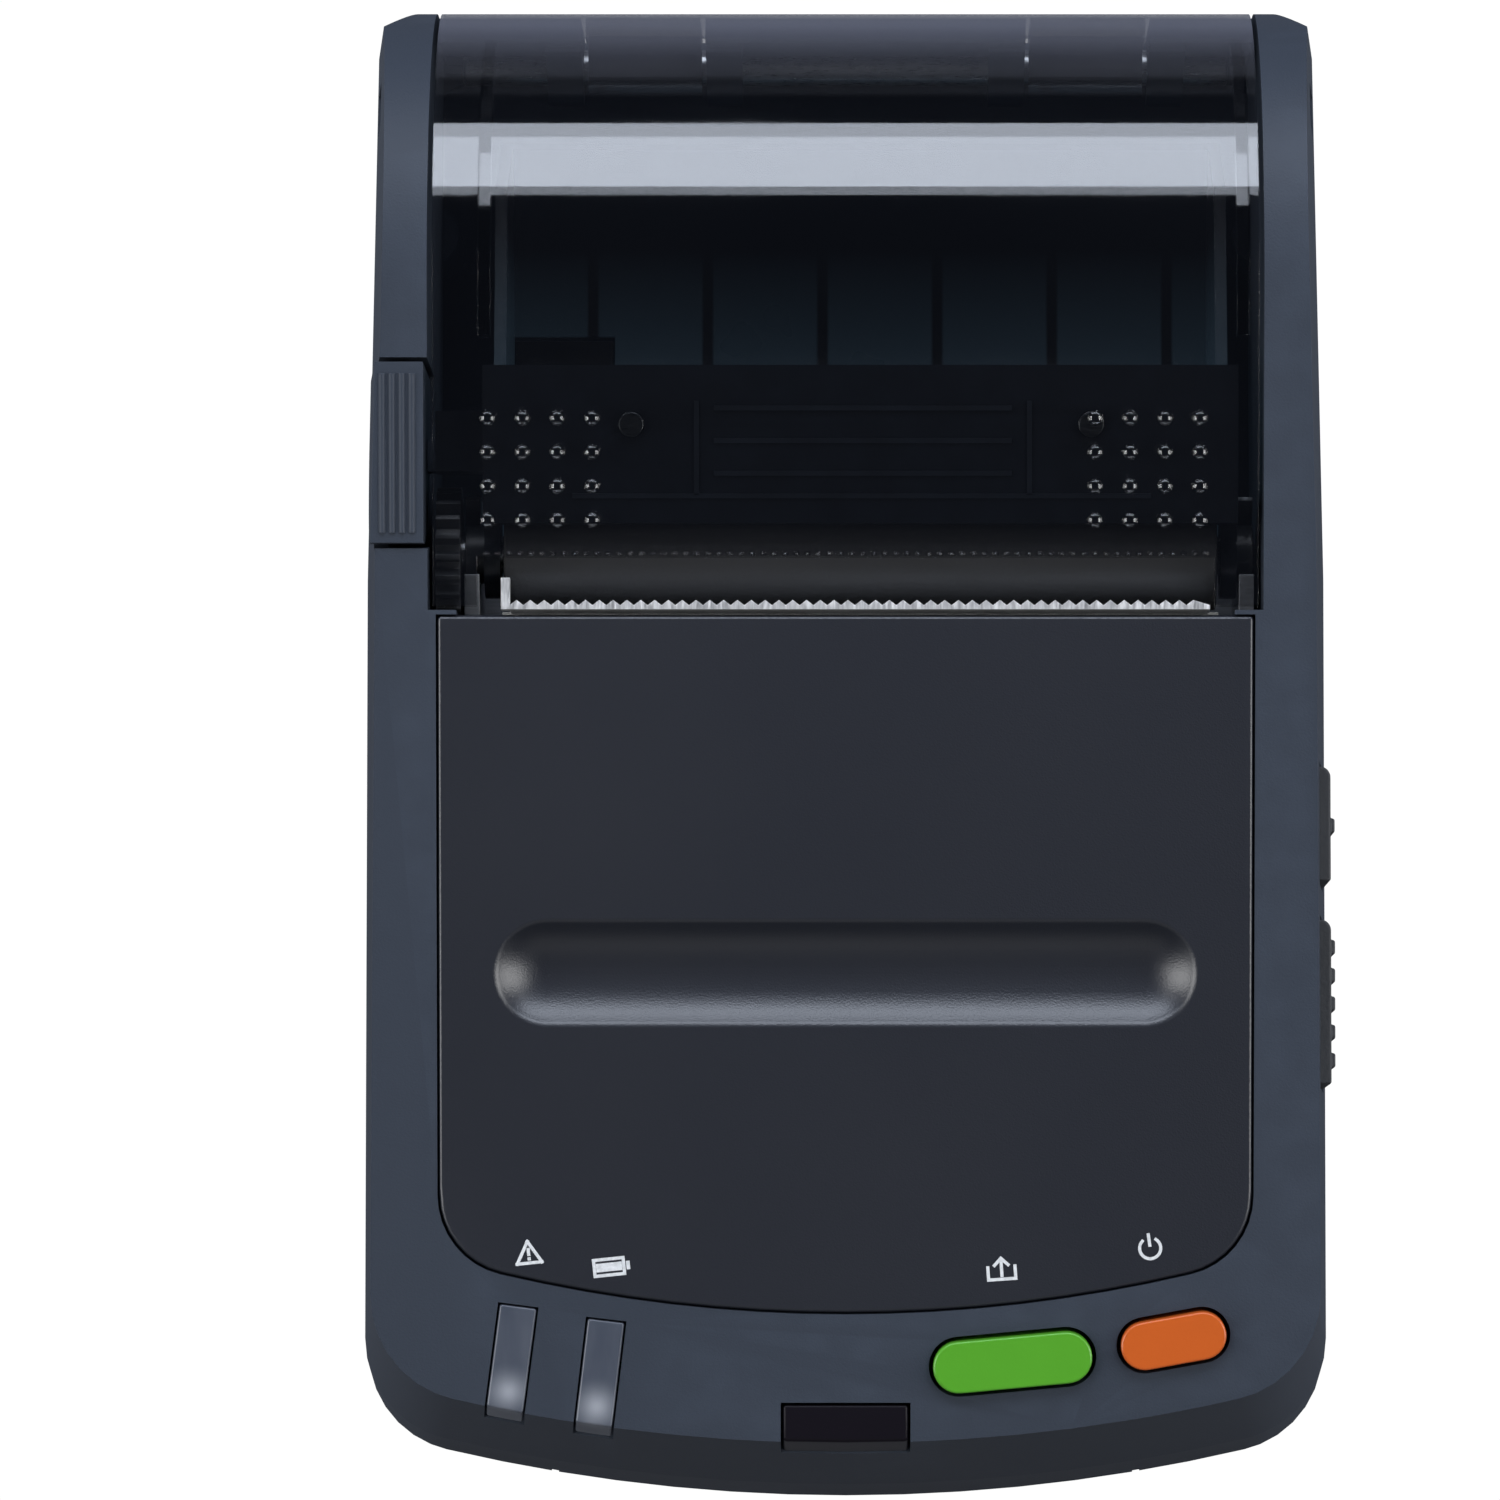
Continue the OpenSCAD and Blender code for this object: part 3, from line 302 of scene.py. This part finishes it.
finishes = {
    "case_plastic": mouldedPlastic(
        "case_plastic", (0.0295, 0.037, 0.0515), 0.50, 5200, 0.00006, 0.2, Specular_IOR_Level=0.2),
    "panel_plastic": mouldedPlastic(
        "panel_plastic", (0.0118, 0.0138, 0.0202), 0.35, 6200, 0.00005, 0.15, Specular_IOR_Level=0.7),
    "ir_plastic": mouldedPlastic(
        "ir_plastic", (0.006, 0.005, 0.008), 0.34, 900, 0.00001, 0.1, Specular_IOR_Level=0.15),
    "light_pipe": lightPipeFinish("light_pipe", (0, 0, 0)),
    "green_plastic": mouldedPlastic("green_plastic", (0.075, 0.30, 0.020), 0.30, 2600, 0.00002, 0.25),
    "orange_plastic": mouldedPlastic("orange_plastic", (0.48, 0.092, 0.014), 0.30, 2600, 0.00002, 0.25),
    "clear_cover": smokedClear("clear_cover"),
    "black_plastic": mouldedPlastic("black_plastic", (0.0028, 0.0038, 0.006), 0.30, 3000, 0.00003, 0.8),
    "tray_plastic": trayFinish("tray_plastic"),
    "steel": brushedMetal("steel", (0.50, 0.51, 0.52), 0.30, (1, 8, 8)),
    "dark_steel": brushedMetal("dark_steel", (0.06, 0.065, 0.07), 0.34, (1, 8, 8)),
    "bright_steel": brushedMetal("bright_steel", (0.93, 0.94, 0.96), 0.42, (8, 1, 8)),
    "platen_rubber": rubberFinish("platen_rubber", (0.004, 0.0045, 0.006), 0.62),
    "gear_plastic": mouldedPlastic("gear_plastic", (0.03, 0.032, 0.036), 0.40, 2400, 0.00003, 0.3),
    "brass": brushedMetal("brass", (0.72, 0.52, 0.22), 0.30, (1, 6, 6)),
    "motor_can": brushedMetal("motor_can", (0.42, 0.43, 0.44), 0.38, (6, 1, 1)),
    "frame_metal": brushedMetal("frame_metal", (0.24, 0.25, 0.27), 0.42, (1, 6, 6), 0.6),
    "aluminium": brushedMetal("aluminium", (0.60, 0.61, 0.63), 0.34, (1, 8, 8)),
    "ceramic": mouldedPlastic("ceramic", (0.66, 0.65, 0.60), 0.30, 1500, 0.00002, 0.1),
    "board": boardFinish("board"),
    "led": mouldedPlastic("led", (0.72, 0.72, 0.66), 0.20, 900, 0.00001, 0.1),
    "flap_rubber": rubberFinish("flap_rubber", (0.020, 0.022, 0.026), 0.66),
    "battery_wrap": wrapFinish("battery_wrap"),
    "foot_rubber": rubberFinish("foot_rubber", (0.014, 0.014, 0.014), 0.72),
}
slotOf = {row["node"]: row["material_slot"] for row in frame["record"]["subparts"]}
bodyOf = {node: body for body, nodes in frame["record"]["behaviour"]["bodies"].items() for node in nodes}
for node, piece in frame["nodes"].items():
    for held in piece.material_slots:
        held.material = finishes[slotOf[node]]
print("stage: finishes ready")


# ---------- pieces taken over from the frame ----------
def addPiece(name, mesh, finish, body):
    piece = bpy.data.objects.new(name, mesh)
    bpy.context.collection.objects.link(piece)
    mesh.materials.clear()
    mesh.materials.append(finish)
    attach(piece, body)
    return piece


def settle(holder):
    # the modifiers' result as a plain mesh
    view = bpy.context.evaluated_depsgraph_get()
    mesh = bpy.data.meshes.new_from_object(holder.evaluated_get(view), depsgraph=view)
    bpy.data.objects.remove(holder)
    return mesh


def softened(node, width, finish=None, angle=33, segments=3, clamp=True):
    # the CAD shape with its loose triangles merged and its edges rounded
    mesh = frame["nodes"][node].data.copy()
    work = bmesh.new()
    work.from_mesh(mesh)
    bmesh.ops.remove_doubles(work, verts=work.verts, dist=0.000002)
    bmesh.ops.dissolve_limit(work, angle_limit=math.radians(0.7), verts=work.verts, edges=work.edges)
    for face in work.faces:
        face.smooth = True
    work.to_mesh(mesh)
    work.free()
    holder = bpy.data.objects.new("holder", mesh)
    bpy.context.collection.objects.link(holder)
    bevel = holder.modifiers.new("bevel", "BEVEL")
    bevel.width, bevel.segments = width * mm, segments
    bevel.limit_method, bevel.angle_limit = "ANGLE", math.radians(angle)
    bevel.use_clamp_overlap = clamp
    bevel.harden_normals = False
    weigh = holder.modifiers.new("weigh", "WEIGHTED_NORMAL")
    weigh.keep_sharp, weigh.weight = True, 60
    slotName = slotOf[node]
    piece = addPiece(node + "_fine", settle(holder), finish or finishes[slotName], bodyOf[node])
    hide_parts(node)
    return piece


softEdges = {
    "upper_case": 0.45, "lower_case": 0.35, "top_panel": 0.30, "paper_cover": 0.22, "battery_door": 0.22,
    "feed_button": 0.50, "power_button": 0.50, "release_lever": 0.30, "ir_window": 0.30,
    "jack_cover": 0.25, "interface_cover": 0.25, "platen_frame": 0.25, "paper_tray": 0.15, "tear_bar": 0.06,
    "mech_frame": 0.12, "battery_pack": 0.9, "rubber_feet": 0.25, "feed_motor": 0.3, "interface_socket": 0.2,
    "adapter_jack": 0.3, "thermal_head": 0.1, "head_heat_sink": 0.1, "platen_roller": 0.2, "roll_sensor": 0.1,
    "platen_bushings": 0.15, "cover_screws": 0.2, "case_screws": 0.2, "mech_screws": 0.2, "board_screws": 0.2,
    "idler_gear": 0.06, "platen_gear": 0.06, "motor_pinion": 0.05, "main_board": 0.1, "board_chips": 0.15,
    "tact_switches": 0.15, "status_leds": 0.15, "ir_transceiver": 0.3, "hinge_pin": 0.3, "platen_shaft": 0.3,
    "battery_contacts": 0.15, "idler_shaft": 0.2, "motor_shaft": 0.2, "lever_pin": 0.15,
}
for node, width in softEdges.items():
    softened(node, width)
# centres of the painted hot spots on the two light pipes, in millimetres
pipeHotSpots = {"error_light_pipe": (-27.25, -52.4), "power_light_pipe": (-20.15, -53.6)}
for node, (x, y) in pipeHotSpots.items():
    low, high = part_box(node)
    softened(node, 0.2, lightPipeFinish(node + "_finish", (x * mm, y * mm, high.z - 1.4 * mm)))
print("stage: CAD shapes softened")


# ---------- repeated detail ----------
def newTree(name, inputs):
    tree = bpy.data.node_groups.new(name, "GeometryNodeTree")
    tree.interface.new_socket("Geometry", in_out="INPUT", socket_type="NodeSocketGeometry")
    tree.interface.new_socket("Geometry", in_out="OUTPUT", socket_type="NodeSocketGeometry")
    for label, kind in inputs.items():
        tree.interface.new_socket(label, in_out="INPUT", socket_type=kind)
    return tree


def wireUp(tree, kind, values=None, **settings):
    made = tree.nodes.new(kind)
    for key, value in settings.items():
        setattr(made, key, value)
    for key, value in (values or {}).items():
        if isinstance(value, bpy.types.NodeSocket):
            tree.links.new(value, made.inputs[key])
        else:
            made.inputs[key].default_value = value
    return made


def closeTree(tree, result):
    # every tree ends in Realize Instances and Set Material
    given = tree.nodes["Group Input"] if "Group Input" in tree.nodes else tree.nodes.new("NodeGroupInput")
    real = wireUp(tree, "GeometryNodeRealizeInstances", {"Geometry": result})
    dressed = wireUp(tree, "GeometryNodeSetMaterial", {
        "Geometry": real.outputs[0], "Material": given.outputs["Material"]})
    wireUp(tree, "NodeGroupOutput", {"Geometry": dressed.outputs[0]})


def gridTree(shape):
    # a grid of domes, rounded rods or square bars
    floats = ["Width", "Depth", "Height", "Pitch X", "Pitch Y"]
    inputs = {**{label: "NodeSocketFloat" for label in floats},
              "Count X": "NodeSocketInt", "Count Y": "NodeSocketInt", "Material": "NodeSocketMaterial"}
    tree = newTree("grid of " + shape, inputs)
    given = tree.nodes.new("NodeGroupInput")
    spans = []
    for way in "XY":
        gaps = wireUp(tree, "ShaderNodeMath", {
            0: given.outputs["Count " + way], 1: 1.0}, operation="SUBTRACT")
        spans.append(wireUp(tree, "ShaderNodeMath", {
            0: gaps.outputs[0], 1: given.outputs["Pitch " + way]}, operation="MULTIPLY").outputs[0])
    grid = wireUp(tree, "GeometryNodeMeshGrid", {
        "Size X": spans[0], "Size Y": spans[1],
        "Vertices X": given.outputs["Count X"], "Vertices Y": given.outputs["Count Y"]})
    if shape == "domes":
        body = wireUp(tree, "GeometryNodeMeshUVSphere", {"Segments": 20, "Rings": 12, "Radius": 0.5})
    elif shape == "bars":
        body = wireUp(tree, "GeometryNodeMeshCube", {"Size": (1.0, 1.0, 1.0)})
    else:
        body = wireUp(tree, "GeometryNodeMeshUVSphere", {"Segments": 16, "Rings": 24, "Radius": 0.5})
    size = wireUp(tree, "ShaderNodeCombineXYZ", {
        "X": given.outputs["Width"], "Y": given.outputs["Depth"], "Z": given.outputs["Height"]})
    spread = wireUp(tree, "GeometryNodeInstanceOnPoints", {
        "Points": grid.outputs[0], "Instance": body.outputs[0], "Scale": size.outputs[0]})
    smooth = wireUp(tree, "GeometryNodeSetShadeSmooth", {
        "Geometry": spread.outputs[0], "Shade Smooth": shape != "bars"})
    closeTree(tree, smooth.outputs[0])
    return tree


def coilTree():
    tree = newTree("coil", {
        "Turns": "NodeSocketFloat", "Radius": "NodeSocketFloat", "Length": "NodeSocketFloat",
        "Wire": "NodeSocketFloat", "Material": "NodeSocketMaterial"})
    given = tree.nodes.new("NodeGroupInput")
    path = wireUp(tree, "GeometryNodeCurveSpiral", {
        "Resolution": 28, "Rotations": given.outputs["Turns"], "Start Radius": given.outputs["Radius"],
        "End Radius": given.outputs["Radius"], "Height": given.outputs["Length"]})
    ring = wireUp(tree, "GeometryNodeCurvePrimitiveCircle", {
        "Resolution": 10, "Radius": given.outputs["Wire"]})
    tube = wireUp(tree, "GeometryNodeCurveToMesh", {
        "Curve": path.outputs[0], "Profile Curve": ring.outputs[0], "Fill Caps": True})
    closeTree(tree, tube.outputs[0])
    return tree


def grown(tree, values, finish, place):
    # runs a tree, then moves the plain mesh to its place
    holder = bpy.data.objects.new("holder", bpy.data.meshes.new("holder"))
    bpy.context.collection.objects.link(holder)
    nodes = holder.modifiers.new("nodes", "NODES")
    nodes.node_group = tree
    for item in tree.interface.items_tree:
        if item.in_out == "INPUT" and item.name in values:
            nodes[item.identifier] = values[item.name]
        elif item.in_out == "INPUT" and item.name == "Material":
            nodes[item.identifier] = finish
    bpy.context.view_layer.update()
    mesh = settle(holder)
    mesh.transform(place)
    return mesh


def joined(meshes, smooth=True):
    work = bmesh.new()
    for mesh in meshes:
        work.from_mesh(mesh)
    whole = bpy.data.meshes.new("joined")
    work.to_mesh(whole)
    work.free()
    for face in whole.polygons:
        face.use_smooth = smooth
    return whole


slope = math.radians(8.2)
crownY = cadBox[1].y - 22.8 * mm
crownZ = cadBox[1].z - 22.8 * mm


def topAt(y):
    # height of the sloping top surface
    return crownZ + 22.8 * mm * math.cos(slope) - (crownY - 22.8 * mm * math.sin(slope) - y) * math.tan(slope)


def onTop(x, y, lift=0.0, turn=0.0):
    # a place on the sloping top, Z straight out of it; millimetres
    place = Matrix.Translation((x * mm, y * mm, topAt(y * mm))) @ Matrix.Rotation(slope, 4, "X")
    return place @ Matrix.Rotation(math.radians(turn), 4, "Z") @ Matrix.Translation((0, 0, lift * mm))


domes, rods, bars, coils = gridTree("domes"), gridTree("rods"), gridTree("bars"), coilTree()
coverBumps = {"middles": (-24.56, 24.25), "y": 21.4, "pitchX": 2.8, "pitchY": 2.73,
              "across": 1.25, "tall": 0.7}
bumps = [grown(domes, {
    "Width": coverBumps["across"] * mm, "Depth": coverBumps["across"] * mm, "Height": coverBumps["tall"] * mm,
    "Pitch X": coverBumps["pitchX"] * mm, "Pitch Y": coverBumps["pitchY"] * mm, "Count X": 4, "Count Y": 4},
    finishes["clear_cover"], onTop(x, coverBumps["y"], 0.02)) for x in coverBumps["middles"]]
addPiece("cover_bumps", joined(bumps), finishes["clear_cover"], "cover")
slotTeeth = {"count": 66, "pitch": 0.89, "y": 14.75, "wide": 0.6, "deep": 0.45, "tall": 1.5}
teeth = grown(rods, {
    "Width": slotTeeth["wide"] * mm, "Depth": slotTeeth["deep"] * mm, "Height": slotTeeth["tall"] * mm,
    "Pitch X": slotTeeth["pitch"] * mm, "Pitch Y": mm, "Count X": slotTeeth["count"], "Count Y": 1},
    finishes["black_plastic"], onTop(0.05, slotTeeth["y"] - 0.1, -0.95))
addPiece("cover_teeth", teeth, finishes["clear_cover"], "cover")
# low ribs on the cover's inner frame, across and along it
frameRibs = {"rows": ((-10.6, 13.4, 26.2), (-10.6, 13.4, 23.6), (-10.6, 13.4, 21.0), (-22.0, 24.6, 19.2)),
             "columns": ((-12.0, 19.2, 26.8), (14.8, 19.2, 26.8)), "wide": 0.4, "tall": 0.4, "lift": -1.9}
ribs = []
rows = [(x1 - x0, frameRibs["wide"], (x0 + x1) / 2, y) for x0, x1, y in frameRibs["rows"]]
columns = [(frameRibs["wide"], y1 - y0, x, (y0 + y1) / 2) for x, y0, y1 in frameRibs["columns"]]
for wide, deep, x, y in rows + columns:
    ribs.append(grown(bars, {
        "Width": wide * mm, "Depth": deep * mm, "Height": frameRibs["tall"] * mm,
        "Pitch X": mm, "Pitch Y": mm, "Count X": 1, "Count Y": 1},
        finishes["black_plastic"], onTop(x, y, frameRibs["lift"])))
addPiece("frame_ribs", joined(ribs, False), finishes["black_plastic"], "cover")
doorGrip = {"count": 7, "pitch": 1.8, "y": -51.5, "wide": 20.0, "deep": 0.9, "tall": 0.7}
low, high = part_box("battery_door")
grip = grown(rods, {
    "Width": doorGrip["wide"] * mm, "Depth": doorGrip["deep"] * mm, "Height": doorGrip["tall"] * mm,
    "Pitch X": mm, "Pitch Y": doorGrip["pitch"] * mm, "Count X": 1, "Count Y": doorGrip["count"]},
    finishes["case_plastic"], Matrix.Translation((0, doorGrip["y"] * mm, low.z)))
addPiece("door_grip", grip, finishes["case_plastic"], "battery_door")
headSpring = {"turns": 4.5, "radius": 1.72, "wire": 0.3, "inset": 2.0, "endGap": 0.4, "keep": 0.75}
springLow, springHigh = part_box("head_springs")
springs = []
for x in (springLow.x + headSpring["inset"] * mm, springHigh.x - headSpring["inset"] * mm):
    end = (x, springHigh.y - headSpring["endGap"] * mm, (springLow.z + springHigh.z) / 2)
    springs.append(grown(coils, {
        "Turns": headSpring["turns"], "Radius": headSpring["radius"] * mm, "Wire": headSpring["wire"] * mm,
        "Length": springHigh.y - springLow.y - 2 * headSpring["endGap"] * mm},
        finishes["steel"], Matrix.Translation(end) @ Matrix.Rotation(math.radians(90), 4, "X")))
coil = addPiece("head_coils", joined(springs), finishes["steel"], bodyOf["head_springs"])
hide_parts("head_springs")
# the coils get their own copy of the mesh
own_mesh(coil)
print("stage: repeated detail made")


# ---------- printed picture signs ----------
def strip(points, width, closed=False):
    # a flat band along points, in millimetres
    quads = []
    ends = list(zip(points, points[1:] + points[:1])) if closed else list(zip(points, points[1:]))
    for (ax, ay), (bx, by) in ends:
        way = Vector((bx - ax, by - ay)).normalized() * width / 2
        side = Vector((-way.y, way.x))
        quads.append([(ax - way.x + side.x, ay - way.y + side.y), (bx + way.x + side.x, by + way.y + side.y),
                      (bx + way.x - side.x, by + way.y - side.y), (ax - way.x - side.x, ay - way.y - side.y)])
    return quads


def ringPoints(radius, start, end, count=20):
    return [(radius * math.cos(math.radians(start + (end - start) * i / count)),
             radius * math.sin(math.radians(start + (end - start) * i / count))) for i in range(count + 1)]


def signMesh(quads, x, y, turn):
    work = bmesh.new()
    for i, quad in enumerate(quads):
        corners = [work.verts.new((px * mm, py * mm, 0.0000005 * i)) for px, py in quad]
        face = work.faces.new(corners)
        if face.normal.z < 0 or sum(
                a[0] * b[1] - b[0] * a[1] for a, b in zip(quad, quad[1:] + quad[:1])) < 0:
            face.normal_flip()
    mesh = bpy.data.meshes.new("sign")
    work.to_mesh(mesh)
    work.free()
    mesh.transform(onTop(x, y, 0.02, turn))
    return mesh


ink = Finish("sign_ink", (0.58, 0.60, 0.62), 0.55)
inkPatch = ink.span(ink.noise(3000, 2), 0.3, 0.7, 0, 1)
ink.set("Base Color", ink.blendTone(inkPatch, (0.50, 0.52, 0.54), (0.66, 0.68, 0.70)))
signs = {
    "sign_fault": ([(-25.6, -41.3, 6)], strip([(-1, -0.8), (1, -0.8), (0, 0.95)], 0.26, True)
                   + strip([(0, -0.1), (0, 0.3)], 0.26) + strip([(0, -0.47), (0, -0.45)], 0.26)),
    "sign_battery": ([(-19.0, -42.4, 6)],
                     strip([(-1.3, -0.65), (1.1, -0.65), (1.1, 0.65), (-1.3, 0.65)], 0.26, True)
                     + strip([(1.45, -0.2), (1.45, 0.2)], 0.3) + strip([(-0.8, 0), (0.6, 0)], 0.7)),
    "sign_feed": ([(12.6, -42.6, 4)],
                  strip([(-1.1, -0.8), (-1.1, 0.2)], 0.26) + strip([(1.1, -0.8), (1.1, 0.2)], 0.26)
                  + strip([(-1.1, -0.8), (1.1, -0.8)], 0.26) + strip([(0, -0.5), (0, 0.75)], 0.26)
                  + strip([(-0.55, 0.35), (0, 0.9), (0.55, 0.35)], 0.26)),
    "sign_power": ([(24.6, -40.9, 8)],
                   strip(ringPoints(0.85, 130, 410), 0.24) + strip([(0, 0.25), (0, 1.1)], 0.26)),
}
for name, (spots, quads) in signs.items():
    for x, y, turn in spots:
        addPiece(name, signMesh(quads, x, y, turn), ink.mat, bodyOf["top_panel"])
print("stage: signs made")

# ---------- floor and lights ----------
ground = bpy.data.meshes.new("floor")
half = studio["floorHalf"]
ground.from_pydata(
    [(-half, -half, 0), (half, -half, 0), (half, half, 0), (-half, half, 0)], [], [(0, 1, 2, 3)])
floor = bpy.data.objects.new("floor", ground)
bpy.context.collection.objects.link(floor)
paint = Finish("floor_paint", studio["floorBounce"], 0.8, Specular_IOR_Level=0.0)
# a white ground to the eye, which gives the object only a little light
watched = paint.node("ShaderNodeLightPath", {}, {}, "Is Camera Ray")
paint.set("Base Color", paint.blendTone(watched, studio["floorBounce"], (0, 0, 0)))
paint.set("Emission Color", paint.blendTone(watched, studio["floorGlow"], studio["floorSeen"]))
paint.set("Emission Strength", 1.0)
ground.materials.append(paint.mat)
floor.location.z = cadBox[0].z - studio["floorDrop"]
# place, aim, size, watts and tone; the cover mirrors the rear box as a pale band
softBoxes = {
    "rear_box": ((0, 0.559, 0.444), (0, 0.046, 0.045), (1.0, 0.351), 6.6, (0.80, 0.87, 1)),
    "left_box": ((-0.66, -0.05, 0.42), (0, 0, 0.02), (0.5, 0.7), 5.6),
    "right_box": ((0.66, -0.05, 0.42), (0, 0, 0.02), (0.5, 0.7), 5.6),
    "front_box": ((0, -0.66, 0.46), (0, -0.02, 0.02), (0.8, 0.4), 0.35),
}
for name, settings in softBoxes.items():
    softBox(name, *settings)
sky = bpy.data.worlds.new("studio")
bpy.context.scene.world = sky
sky.use_nodes = True
sky.node_tree.nodes["Background"].inputs["Color"].default_value = studio["skyTone"]
sky.node_tree.nodes["Background"].inputs["Strength"].default_value = studio["world"]
bpy.context.scene.view_settings.view_transform = "Standard"
print("stage: lights and floor ready")
